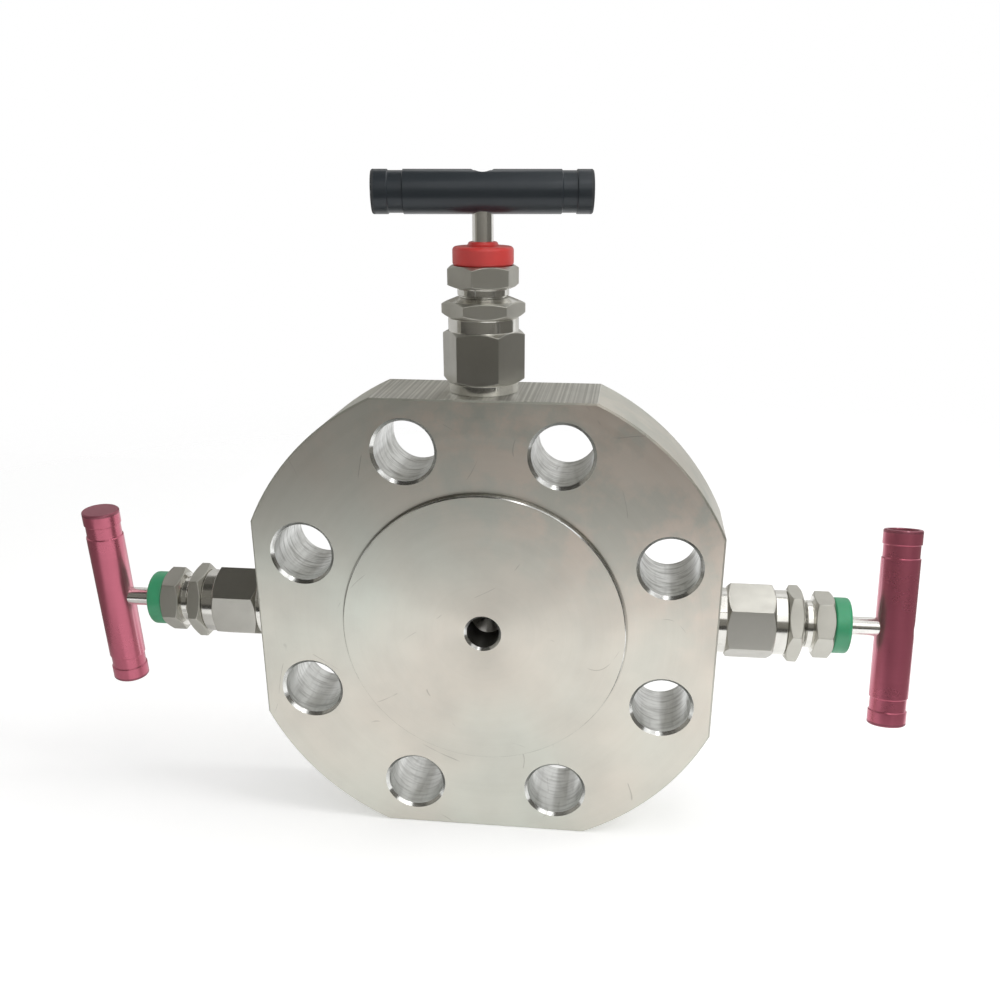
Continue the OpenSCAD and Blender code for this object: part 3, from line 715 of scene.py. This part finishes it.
def lock_nut_outline(side):
    """One loop of the lock nut."""
    seat = BONNET_TOP + 0.5 * APART
    low = BONNET_TOP + (side - CONE_22) * SLOPE_30
    high = NUT_TOP - (side - NOSE) * SLOPE_22
    loop = [
        (NUT_BORE, BONNET_TOP + 0.4), (NUT_BORE + 0.4, seat), (CONE_22, seat), (side, low),
        (side, high), (NOSE, NUT_TOP), (NUT_BORE + 0.4, NUT_TOP), (NUT_BORE, NUT_TOP - 0.4),
    ]
    return eased(loop, 0.18)


def gland_outline(side):
    """One loop of the gland: nose, threaded length, neck, hexagon, spigot and bore."""
    low = GLAND_LOW + (side - NOSE) * SLOPE_22
    high = GLAND_HIGH - (side - CONE_19) * SLOPE_30
    inner_end = [
        (STEM_BORE, GLAND_END), (GLAND_TIP - 0.2, GLAND_END), (GLAND_TIP, GLAND_END + 0.2),
        (GLAND_TIP, GLAND_END + 2.0), (GLAND_THREAD, GLAND_END + 2.54),
        (GLAND_THREAD, NECK_LOW - 0.3), (RELIEF_RADIUS, NECK_LOW - 0.15),
        (RELIEF_RADIUS, NECK_LOW),
    ]
    outer_end = [
        (NECK_RADIUS, NECK_LOW + 0.05), (NECK_RADIUS, GLAND_LOW), (NOSE, GLAND_LOW), (side, low),
        (side, high), (CONE_19, GLAND_HIGH), (SPIGOT_RADIUS, GLAND_HIGH),
        (SPIGOT_RADIUS, SPIGOT_TOP - 0.4), (SPIGOT_RADIUS - 0.4, SPIGOT_TOP),
        (STEM_BORE, SPIGOT_TOP),
    ]
    return eased(inner_end + outer_end, 0.15)


for valve in VALVES:
    mesh = mesh_from(f"{valve}_lock_nut_piece", HEX_22, lock_nut_outline)
    place = valve_place(valve, TURNS["lock_nut"][valve])
    settle(mesh.name, mesh, place, "body", nut_steel, "gland_steel", [f"{valve}_lock_nut"])
    mesh = mesh_from(f"{valve}_gland_piece", HEX_19, gland_outline)
    place = valve_place(valve, TURNS["gland"][valve])
    settle(mesh.name, mesh, place, "body", gland_steel, "gland_steel", [f"{valve}_gland"])
print("gland faces:", len(mesh.polygons))

# %% [markdown]
# ## Dust caps
# Each cap has a round shoulder and a thin wiping lip round the stem. The red one on the vent
# has a small boss, the green ones are plain. A rounded edge this large needs its own arc of
# points, because easing a corner only breaks the edge.

# %% Make the dust caps
CAP_TOP, CAP_ROOF, CAP_RADIUS, CAP_INSIDE, LIP = 42.4, 40.9, 9.1, 7.05, 3.25
BOSS_RADIUS, BOSS_HEIGHT = 4.5, 1.3
SOFT_LOW, SOFT_HIGH = 0.8, 1.1


def arc(centre, radius, start, end, steps=6):
    """Points on an arc in the plane of the outline, angles in degrees."""
    angles = [math.radians(start + (end - start) * i / steps) for i in range(steps + 1)]
    return [(centre[0] + radius * math.cos(a), centre[1] + radius * math.sin(a)) for a in angles]


def cap_outline(boss):
    """The outline function of a cap, with or without the boss."""
    shell = arc((CAP_RADIUS - SOFT_LOW, GLAND_HIGH + SOFT_LOW), SOFT_LOW, -90, 0, 4)
    shell += arc((CAP_RADIUS - SOFT_HIGH, CAP_TOP - SOFT_HIGH), SOFT_HIGH, 0, 90)
    hole_top = CAP_TOP
    if boss:
        hole_top += BOSS_HEIGHT
        foot = hole_top - SOFT_LOW
        shell += [(BOSS_RADIUS + 0.25, CAP_TOP), (BOSS_RADIUS + 0.1, foot)]
        shell += arc((BOSS_RADIUS - SOFT_LOW, foot), SOFT_LOW, 0, 90, 4)
    inside = [
        (LIP + 0.15, hole_top - 0.15), (LIP, hole_top - 0.3), (LIP, CAP_ROOF),
        (CAP_INSIDE, CAP_ROOF), (CAP_INSIDE, GLAND_HIGH + APART),
    ]
    return lambda side: shell + inside


for valve in VALVES:
    mesh = mesh_from(f"{valve}_cap_piece", ROUND, cap_outline(valve == "vent"))
    material, slot = (red_cap, "red_cap") if valve == "vent" else (green_cap, "green_cap")
    settle(mesh.name, mesh, valve_place(valve), "body", material, slot, [f"{valve}_dust_cap"])
print("cap faces:", len(mesh.polygons))

# %% [markdown]
# ## Stems
# The stem is ground where it passes the packing, has its thread in the gland and a plain top
# below the bar. Its lower end is the socket in which the tip can turn.

# %% Make the stems
STEM_END, SHOULDER, THREAD_TOP, UNDER_BAR, BAR_HEIGHT = -20.09, -14.19, 29.9, 52.8, 57.3
STEM_RADIUS, SHOULDER_RADIUS, TOP_STEM, IN_BAR = 4.0, 5.0, 3.1, 2.95
SOCKET_ROOM, SOCKET_MOUTH = 2.5, 1.7


def stem_outline(side):
    """Half an outline of the stem, from the axis inside the socket round to the top."""
    socket = [
        (0, STEM_END + 3.2), (SOCKET_ROOM, STEM_END + 3.0), (SOCKET_ROOM, STEM_END + 1.4),
        (SOCKET_MOUTH, STEM_END + 1.4), (SOCKET_MOUTH, STEM_END),
    ]
    outside = [
        (STEM_RADIUS - 0.4, STEM_END), (STEM_RADIUS, STEM_END + 0.4), (STEM_RADIUS, SHOULDER),
        (SHOULDER_RADIUS, SHOULDER), (SHOULDER_RADIUS, SHOULDER + 1.2),
        (STEM_RADIUS, SHOULDER + 2.2), (STEM_RADIUS, THREAD_TOP), (TOP_STEM, THREAD_TOP + 0.5),
        (TOP_STEM, UNDER_BAR), (IN_BAR, UNDER_BAR), (IN_BAR, BAR_HEIGHT), (0, BAR_HEIGHT),
    ]
    return eased(socket + outside, 0.12, open_ended=True)


for valve in VALVES:
    mesh = mesh_from(f"{valve}_stem_piece", round_ways(64), stem_outline, ring=False)
    body = f"{valve}_spindle"
    settle(mesh.name, mesh, valve_place(valve), body, stem_steel, "stem_steel", [f"{valve}_stem"])
print("stem faces:", len(mesh.polygons))

# %% [markdown]
# ## T bars
# A bar is turned with two shallow grip grooves. Most ends have a small recess, but on the side
# valves one end is hollow and one is flat. A hole goes across the bar: the stem comes up from
# below and a headless screw locks it from above. The hole is cut with a boolean, the one place
# where drawing every face by hand would gain nothing.

# %% Outline of a bar
BAR_RADIUS, GRIP_RADIUS, GRIP_NEAR, GRIP_FAR = 6.1, 5.75, 22.85, 27.35
BAR_ENDS = {
    "shallow": [(0, 31.35), (3.9, 31.2), (4.4, 31.75), (4.6, BAR_HALF)],
    "hollow": [(0, 28.2), (4.3, 28.4), (4.65, 28.8), (4.7, 31.7), (4.9, BAR_HALF)],
    "flat": [(0, BAR_HALF)],
}


def bar_outline(low_end, high_end):
    """Half an outline of a bar from one end to the other, along its own axis."""
    grip = [
        (BAR_RADIUS - 0.35, BAR_HALF), (BAR_RADIUS, BAR_HALF - 0.35), (BAR_RADIUS, GRIP_FAR),
        (GRIP_RADIUS, GRIP_FAR - 0.2), (GRIP_RADIUS, GRIP_NEAR + 0.2), (BAR_RADIUS, GRIP_NEAR),
    ]
    loop = BAR_ENDS[high_end] + grip
    loop += [(r, -h) for r, h in reversed(BAR_ENDS[low_end] + grip)]
    return lambda side: eased(loop, 0.1, open_ended=True)


print("kinds of bar ends:", ", ".join(BAR_ENDS))


# %% Make the bars
def cut_hole(piece_mesh, radius, low, high):
    """Cuts a round hole along Z through a mesh and returns the new mesh."""
    drill_outline = [(0, low), (radius, low), (radius, high), (0, high)]
    drill = mesh_from("drill", round_ways(48), lambda side: drill_outline, ring=False)
    work = bpy.data.objects.new("work", piece_mesh)
    tool = bpy.data.objects.new("tool", drill)
    for obj in (work, tool):
        bpy.context.scene.collection.objects.link(obj)
    cut = work.modifiers.new("hole", "BOOLEAN")
    cut.object = tool
    cut.operation = "DIFFERENCE"
    cut.solver = "EXACT"
    seen = work.evaluated_get(bpy.context.evaluated_depsgraph_get())
    result = bpy.data.meshes.new_from_object(seen)
    for obj in (work, tool):
        bpy.data.objects.remove(obj)
    return result


ENDS = {
    "vent": ("shallow", "shallow"),
    "inlet": ("hollow", "shallow"),
    "outlet": ("shallow", "flat"),
}
CROSS_HOLE, COUNTERSINK, OUTSIDE = 3.0, 5.75, 7.0
for valve in VALVES:
    mesh = mesh_from("bar", round_ways(128), bar_outline(*ENDS[valve]), ring=False)
    mesh.transform(Matrix.Rotation(math.radians(90), 4, "Y"))
    mesh = cut_hole(mesh, CROSS_HOLE, -OUTSIDE, OUTSIDE)
    mesh = cut_hole(mesh, CROSS_HOLE + 0.3, COUNTERSINK, OUTSIDE)
    mesh.set_sharp_from_angle(angle=math.radians(40))
    mesh.name = f"{valve}_bar_piece"
    place = valve_place(valve, TURNS["handle"][valve]) @ Matrix.Translation((0, 0, BAR_HEIGHT * MM))
    black = valve == "vent"
    material, slot = (black_bar, "black_bar") if black else (magenta_bar, "magenta_bar")
    settle(mesh.name, mesh, place, f"{valve}_spindle", material, slot, [f"{valve}_handle"])
print("bar faces:", len(mesh.polygons))

# %% [markdown]
# ## Locking screws
# A headless screw sits just below the crown of each bar. Its hexagon socket is a real hollow.

# %% Make the screws
SCREW_RADIUS, SCREW_TOP, SOCKET_FLOOR = 2.9, 5.2, 3.1
SOCKET = hexagon_ways(3.0, 0.1)


def screw_outline(side):
    """Outline of the screw; the inner hexagon gives the socket's side."""
    socket = [
        (0, SOCKET_FLOOR), (side * 0.5, SOCKET_FLOOR + 0.2), (side, SOCKET_FLOOR + 0.3),
        (side, SCREW_TOP - 0.2), (side + 0.25, SCREW_TOP),
    ]
    outside = [
        (SCREW_RADIUS - 0.4, SCREW_TOP), (SCREW_RADIUS, SCREW_TOP - 0.4), (SCREW_RADIUS, 0.5),
        (SCREW_RADIUS - 0.5, APART), (0, APART),
    ]
    return socket + outside


for valve in VALVES:
    mesh = mesh_from(f"{valve}_screw_piece", SOCKET, screw_outline, ring=False)
    mesh.set_sharp_from_angle(angle=math.radians(35))
    place = valve_place(valve) @ Matrix.Translation((0, 0, BAR_HEIGHT * MM))
    body = f"{valve}_spindle"
    settle(mesh.name, mesh, place, body, screw_steel, "screw_steel", [f"{valve}_handle_screw"])
print("screw faces:", len(mesh.polygons))

# %% [markdown]
# ## Threads in the ports
# The outlet port in the back and the vent port underneath have taper pipe threads. A thread is
# a ridge that climbs round the wall: a small triangle is carried along a helix, and the ridge
# fades in and out so that it has no blunt end.

# %% Ridge of a thread
STEPS_PER_TURN = 48


def thread_mesh(name, radius, start, end, pitch, ridge):
    """A helical ridge on the inside of a hole that opens at height 0 and goes down."""
    shape = bmesh.new()
    steps = int((start - end) / pitch * STEPS_PER_TURN)
    half_turn = STEPS_PER_TURN / 2
    rows = []
    for i in range(steps + 1):
        angle = 2 * math.pi * i / STEPS_PER_TURN
        height = start - pitch * i / STEPS_PER_TURN
        fade = min(1.0, i / half_turn, (steps - i) / half_turn)
        crest = radius - max(0.02, ridge * fade)
        half = 0.42 * pitch
        section = [
            (radius + 0.05, height + half), (crest, height + 0.08 * pitch),
            (crest, height - 0.08 * pitch), (radius + 0.05, height - half),
        ]
        turn = (math.cos(angle), math.sin(angle))
        rows.append([shape.verts.new((r * turn[0], r * turn[1], h)) for r, h in section])
    for here, ahead in zip(rows, rows[1:]):
        for j in range(4):
            k = (j + 1) % 4
            shape.faces.new((here[j], here[k], ahead[k], ahead[j]))
    shape.faces.new(rows[0])
    shape.faces.new(list(reversed(rows[-1])))
    bmesh.ops.recalc_face_normals(shape, faces=shape.faces)
    mesh = bpy.data.meshes.new(name)
    shape.to_mesh(mesh)
    shape.free()
    return mesh


print("steps in one turn of a thread:", STEPS_PER_TURN)

# %% Make the port threads
BACK_FACE, LEAD_IN = 15.5, 1.4
BACK = Matrix.Translation((0, BACK_FACE * MM, 0)) @ Matrix.Rotation(math.radians(-90), 4, "X")
BELOW = Matrix.Translation((0, 0, -FLAT * MM)) @ Matrix.Rotation(math.radians(180), 4, "X")
for name, radius, depth, pitch, place in (
    ("outlet_thread", 9.1, 11.8, 1.81, BACK),
    ("vent_thread", 5.55, 13.0, 1.41, BELOW),
):
    mesh = thread_mesh(name, radius, -LEAD_IN, -depth, pitch, 0.5 * pitch)
    mesh.set_sharp_from_angle(angle=math.radians(30))
    settle(name, mesh, place, "body", inner_steel, "flange_steel")
print("port threads: 2")

# %% [markdown]
# ## Room and light
# The part stands on a white table top. Steel shows what is round it, so the room matters as
# much as the lamps. A white background has to look white to the camera and in the steel, and
# yet must not light the part. The kind of ray tells the two uses apart.

# %% Rays that see the white background
def white_rays(tree):
    """1 for camera, glossy and transmission rays, and 0 for the rays that carry the light."""
    rays = add(tree, "LightPath").outputs
    seen = maths(tree, "ADD", rays["Is Camera Ray"], rays["Is Glossy Ray"])
    inputs = {0: seen, 1: rays["Is Transmission Ray"]}
    return add(tree, "Math", inputs, use_clamp=True).outputs[0]


print("helper:", white_rays.__name__)

# %% [markdown]
# The floor is a round sheet of white paper that takes the part's soft shadow. It fades out
# towards its rim, so that no horizon line crosses the picture. A little glow, seen by the
# camera and in reflections alone, lifts the paper to white.

# %% Floor
FADE_START, FADE_END, FLOOR_GLOW = 180.0, 800.0, 0.32
floor_finish, tree, surface = finish_named("floor paper", (0.86, 0.86, 0.855), 0.8, 0.0)
place, x, y, _ = object_millimetres(tree)
grain = add(tree, "TexNoise", {"Vector": place, "Scale": 0.3, "Detail": 4.0}).outputs[0]
relief(tree, surface, grain, 0.05, 0.05)
distance = round_distance(tree, x, y)
fade = add(tree, "MapRange", {0: distance, 1: FADE_START, 2: FADE_END, 3: 1.0, 4: 0.0})
fade.interpolation_type = "SMOOTHSTEP"
tree.links.new(fade.outputs[0], surface.inputs["Alpha"])
surface.inputs["Emission Color"].default_value = (1.0, 1.0, 1.0, 1.0)
glow = maths(tree, "MULTIPLY", white_rays(tree), FLOOR_GLOW)
tree.links.new(glow, surface.inputs["Emission Strength"])
under = (0, 0, -FLAT * MM)
bpy.ops.mesh.primitive_circle_add(vertices=64, radius=1.0, fill_type="NGON", location=under)
floor = bpy.context.object
floor.name = "floor"
floor.data.materials.append(floor_finish)
print("floor at", floor.location.z)


# %% [markdown]
# Cards stand for the room that the steel mirrors; their greys and glows are painted light and
# shade. In front, low down, lie a dark table edge and a dark band, and above them the wall is
# dim on the left and glows on the right. Grey cards lying on the table top at the left, the
# right and near the part are painted shade on it. The ceiling and the wall behind are dark on
# the left and bright on the right, and the side walls are grey. The cards show in reflections
# only, so the light itself stays plain. A shade is a grey, and what goes beyond white becomes
# glow. Dark cards are a little warmer than bright ones.

# %% A card for the room
GLOW_BEYOND_WHITE = 0.6


def card(name, corners, shade):
    """A flat card between four corners in metres, which shows in reflections only."""
    mesh = bpy.data.meshes.new(name)
    mesh.from_pydata(corners, [], [(0, 1, 2, 3)])
    paint = min(shade, 1.0)
    blue = 0.85 if shade < 0.5 else 0.97
    green = 0.5 * (1 + blue ** 0.5)
    color = (paint, green * paint, blue * paint)
    finish, tree, surface = finish_named(f"{name} paint", color, 0.9, 0.0)
    surface.inputs["Emission Color"].default_value = (1.0, 1.0, 1.0, 1.0)
    surface.inputs["Emission Strength"].default_value = GLOW_BEYOND_WHITE * (shade - paint)
    mesh.materials.append(finish)
    board = bpy.data.objects.new(name, mesh)
    bpy.context.scene.collection.objects.link(board)
    board.visible_camera = False
    board.visible_shadow = False
    board.visible_diffuse = False


print("helper:", card.__name__)

# %% Cards round the part
LOW, EDGE, MID, WALL, TOP = -0.073, 0.02, 0.35, 0.6, 0.88
CARDS = {
    "table front": (0.05, [
        (-0.8, -0.22, LOW), (0.8, -0.42, LOW), (0.8, -0.49, EDGE), (-0.8, -0.35, EDGE),
    ]),
    "dark band front": (0.21, [
        (-0.8, -0.35, EDGE), (0.8, -0.49, EDGE), (0.8, -0.7, MID), (-0.8, -0.7, MID),
    ]),
    # Painted shade: the table top in shade at the left, near the part and at the right.
    "table left": (0.2, [
        (-0.8, -0.4, LOW), (-0.24, -0.3, LOW), (-0.24, 0.45, LOW), (-0.8, 0.45, LOW),
    ]),
    "table near": (0.7, [
        (-0.24, -0.12, LOW), (-0.12, -0.12, LOW), (-0.12, 0.3, LOW), (-0.24, 0.3, LOW),
    ]),
    "table right": (0.17, [
        (0.26, -0.3, LOW), (0.8, -0.4, LOW), (0.8, 0.45, LOW), (0.26, 0.45, LOW),
    ]),
    "wall front left": (0.25, [
        (-0.8, -0.7, MID), (0, -0.7, MID), (0, -0.55, TOP), (-0.8, -0.55, TOP),
    ]),
    "wall front right": (1.8, [
        (0, -0.7, MID), (0.8, -0.7, MID), (0.8, -0.55, TOP), (0, -0.55, TOP),
    ]),
    "ceiling front left": (0.08, [
        (-0.8, -0.55, TOP), (0.05, -0.55, TOP), (0.05, -0.12, TOP), (-0.8, -0.12, TOP),
    ]),
    "ceiling front right": (0.9, [
        (0.05, -0.55, TOP), (0.8, -0.55, TOP), (0.8, -0.12, TOP), (0.05, -0.12, TOP),
    ]),
    "ceiling left": (0.17, [
        (-0.8, -0.12, TOP), (0.05, -0.12, TOP), (0.05, 0.6, TOP), (-0.8, 0.6, TOP),
    ]),
    "ceiling right": (0.9, [
        (0.05, -0.12, TOP), (0.8, -0.12, TOP), (0.8, 0.6, TOP), (0.05, 0.6, TOP),
    ]),
    "wall left": (0.34, [
        (-0.8, -0.7, LOW), (-0.8, -0.04, LOW), (-0.8, -0.04, TOP), (-0.8, -0.7, TOP),
    ]),
    "corner left": (0.75, [
        (-0.8, -0.04, LOW), (-0.4, 0.8, LOW), (-0.4, 0.8, TOP), (-0.8, -0.04, TOP),
    ]),
    "wall right": (0.2, [
        (0.8, -0.7, LOW), (0.8, 0.45, LOW), (0.8, 0.45, WALL), (0.8, -0.7, WALL),
    ]),
    "wall behind left": (0.3, [
        (-0.4, 0.8, LOW), (0.05, 0.8, LOW), (0.05, 0.8, WALL), (-0.4, 0.8, WALL),
    ]),
    "wall behind right": (0.85, [
        (0.05, 0.8, LOW), (0.8, 0.8, LOW), (0.8, 0.8, WALL), (0.05, 0.8, WALL),
    ]),
}
for name, (shade, corners) in CARDS.items():
    card(name, corners, shade)
print("cards:", ", ".join(CARDS))

# %% [markdown]
# ## World and lamps
# The world is white to the camera and dimmer as a light. A long narrow lamp hangs under the
# ceiling and runs from front to back: it draws the thin bright lines along the round necks. A
# wide lamp at the upper right gives most of the light and the soft shadow. It is left out of
# reflections, where it would be a second bright square in the steel.

# %% World
ROOM_LIGHT = 0.6
world = bpy.data.worlds.new("room")
bpy.context.scene.world = world
world.use_nodes = True
tree = world.node_tree
background = tree.nodes["Background"]
strength = blend(tree, white_rays(tree), ROOM_LIGHT, 1.0)
tree.links.new(strength, background.inputs["Strength"])
background.inputs["Color"].default_value = (1.0, 1.0, 1.0, 1.0)
print("world:", world.name)


# %% Lamps
def lamp(name, at, width, length, power):
    """A soft lamp that looks at the part, its length running from front to back."""
    light = bpy.data.lights.new(name, "AREA")
    light.shape = "RECTANGLE"
    light.size = width
    light.size_y = length
    light.energy = power
    holder = bpy.data.objects.new(name, light)
    bpy.context.scene.collection.objects.link(holder)
    away = Vector(at).normalized()
    along = (Vector((0, 1, 0)) - away * away.y).normalized()
    turn = Matrix((along.cross(away), along, away)).transposed().to_4x4()
    holder.matrix_world = Matrix.Translation(at) @ turn
    return holder


lamp("ceiling lamp", (0.2, -0.08, 0.82), width=0.1, length=1.0, power=0.8)
window = lamp("window", (0.85, -0.1, 0.85), width=0.6, length=0.6, power=6.8)
window.visible_glossy = False
print("lamps: 2")

# %% [markdown]
# ## Camera
# The photo was taken by hand from a little above and to the right. Fitting a pinhole camera to
# the outlines of the flange and the bolt holes gave the place, the turn and the focal length
# below. The shift only brings the object to where it lies in the photo's frame.

# %% Camera
camera_data = bpy.data.cameras.new("camera")
camera = bpy.data.objects.new("camera", camera_data)
bpy.context.scene.collection.objects.link(camera)
bpy.context.scene.camera = camera
right = Vector((0.9931, 0.1175, 0.0007)).normalized()
ahead = Vector((-0.1079, 0.9147, -0.3894)).normalized()
up = right.cross(ahead)
turn = Matrix((right, up, -ahead)).transposed().to_4x4()
camera.matrix_world = Matrix.Translation((0.0438, -0.3223, 0.1397)) @ turn
camera_data.sensor_width = 36.0
camera_data.lens = 37.7
camera_data.shift_x = -0.0066
camera_data.shift_y = 0.1066
camera_data.clip_start = 0.01
bpy.context.scene.view_settings.view_transform = "Standard"
print("camera at", [round(part, 4) for part in camera.location])
